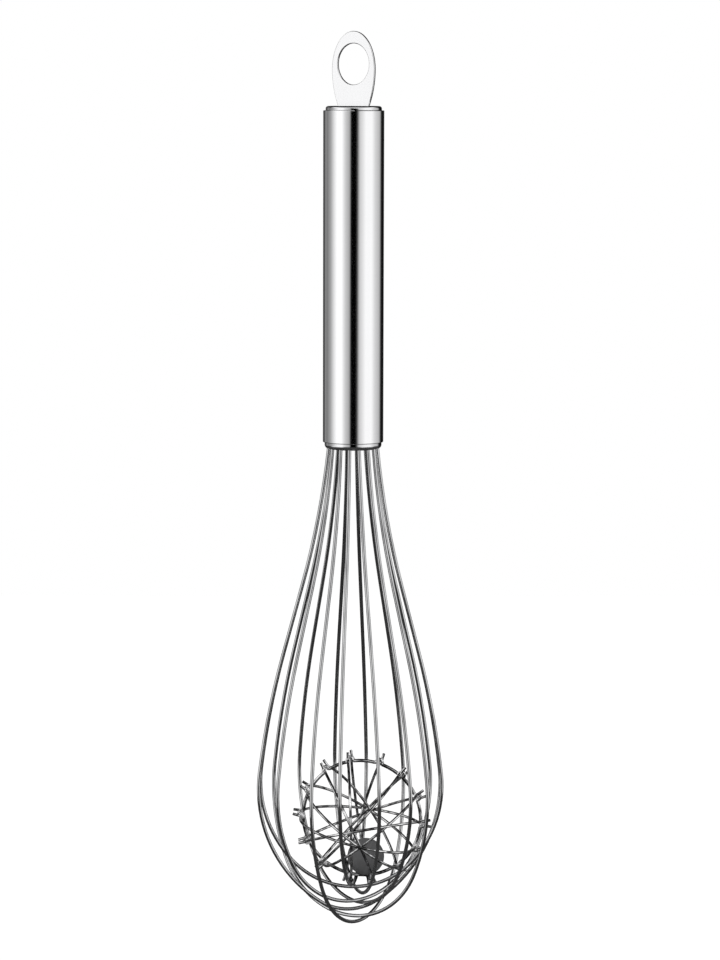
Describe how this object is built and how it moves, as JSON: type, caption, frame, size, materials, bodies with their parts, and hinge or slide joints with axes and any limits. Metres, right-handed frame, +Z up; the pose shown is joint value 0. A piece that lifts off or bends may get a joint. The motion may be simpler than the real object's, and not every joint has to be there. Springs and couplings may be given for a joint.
{
  "type": "balloon whisk",
  "caption": "Steel balloon whisk with a tube handle, a hanging eye and a loose wire cage inside the balloon that holds a free ball.",
  "frame": {"origin": "centre of the oval hanging eye at the top of the handle", "axes": "+Z up along the handle's axis, from the balloon to the eye; -Y the front, from which the cage's ring is seen face on; +X to the right seen from the front"},
  "size_m": [0.0634, 0.0662, 0.3016],
  "materials": {
    "satin_steel": "satin, brushed round the handle",
    "tab_steel": "fine satin, brushed across the tab",
    "wire_steel": "bright drawn wire",
    "cast_resin": "cast",
    "ball_plastic": "matt moulded"
  },
  "bodies": {
    "whisk": {"handle_tube": "satin_steel", "top_cap": "satin_steel", "bottom_cap": "satin_steel", "hang_tab": "tab_steel", "wire_anchor": "cast_resin", "balloon_wire_1": "wire_steel", "balloon_wire_2": "wire_steel", "balloon_wire_3": "wire_steel", "balloon_wire_4": "wire_steel", "balloon_wire_5": "wire_steel", "balloon_wire_6": "wire_steel", "balloon_wire_7": "wire_steel", "balloon_wire_8": "wire_steel"},
    "cage": {"cage_ring": "wire_steel", "front_cage_wire_1": "wire_steel", "front_cage_wire_2": "wire_steel", "front_cage_wire_3": "wire_steel", "front_cage_wire_4": "wire_steel", "front_cage_wire_5": "wire_steel", "front_cage_wire_6": "wire_steel", "front_cage_wire_7": "wire_steel", "rear_cage_wire_1": "wire_steel", "rear_cage_wire_2": "wire_steel", "rear_cage_wire_3": "wire_steel", "rear_cage_wire_4": "wire_steel", "rear_cage_wire_5": "wire_steel", "rear_cage_wire_6": "wire_steel", "rear_cage_wire_7": "wire_steel"},
    "ball": {"agitator_ball": "ball_plastic"}
  },
  "joints": [
    {"name": "cage_lift", "type": "slide", "parent": "whisk", "child": "cage", "axis": [-0.0259, -0.0157, 0.9995], "range_m": [0, 0.036]},
    {"name": "ball_roll", "type": "hinge", "parent": "cage", "child": "ball", "pos_m": [0.0033, 0.002, -0.25564], "axis": [-0.1213, -0.9908, -0.0607], "continuous": true}
  ]
}
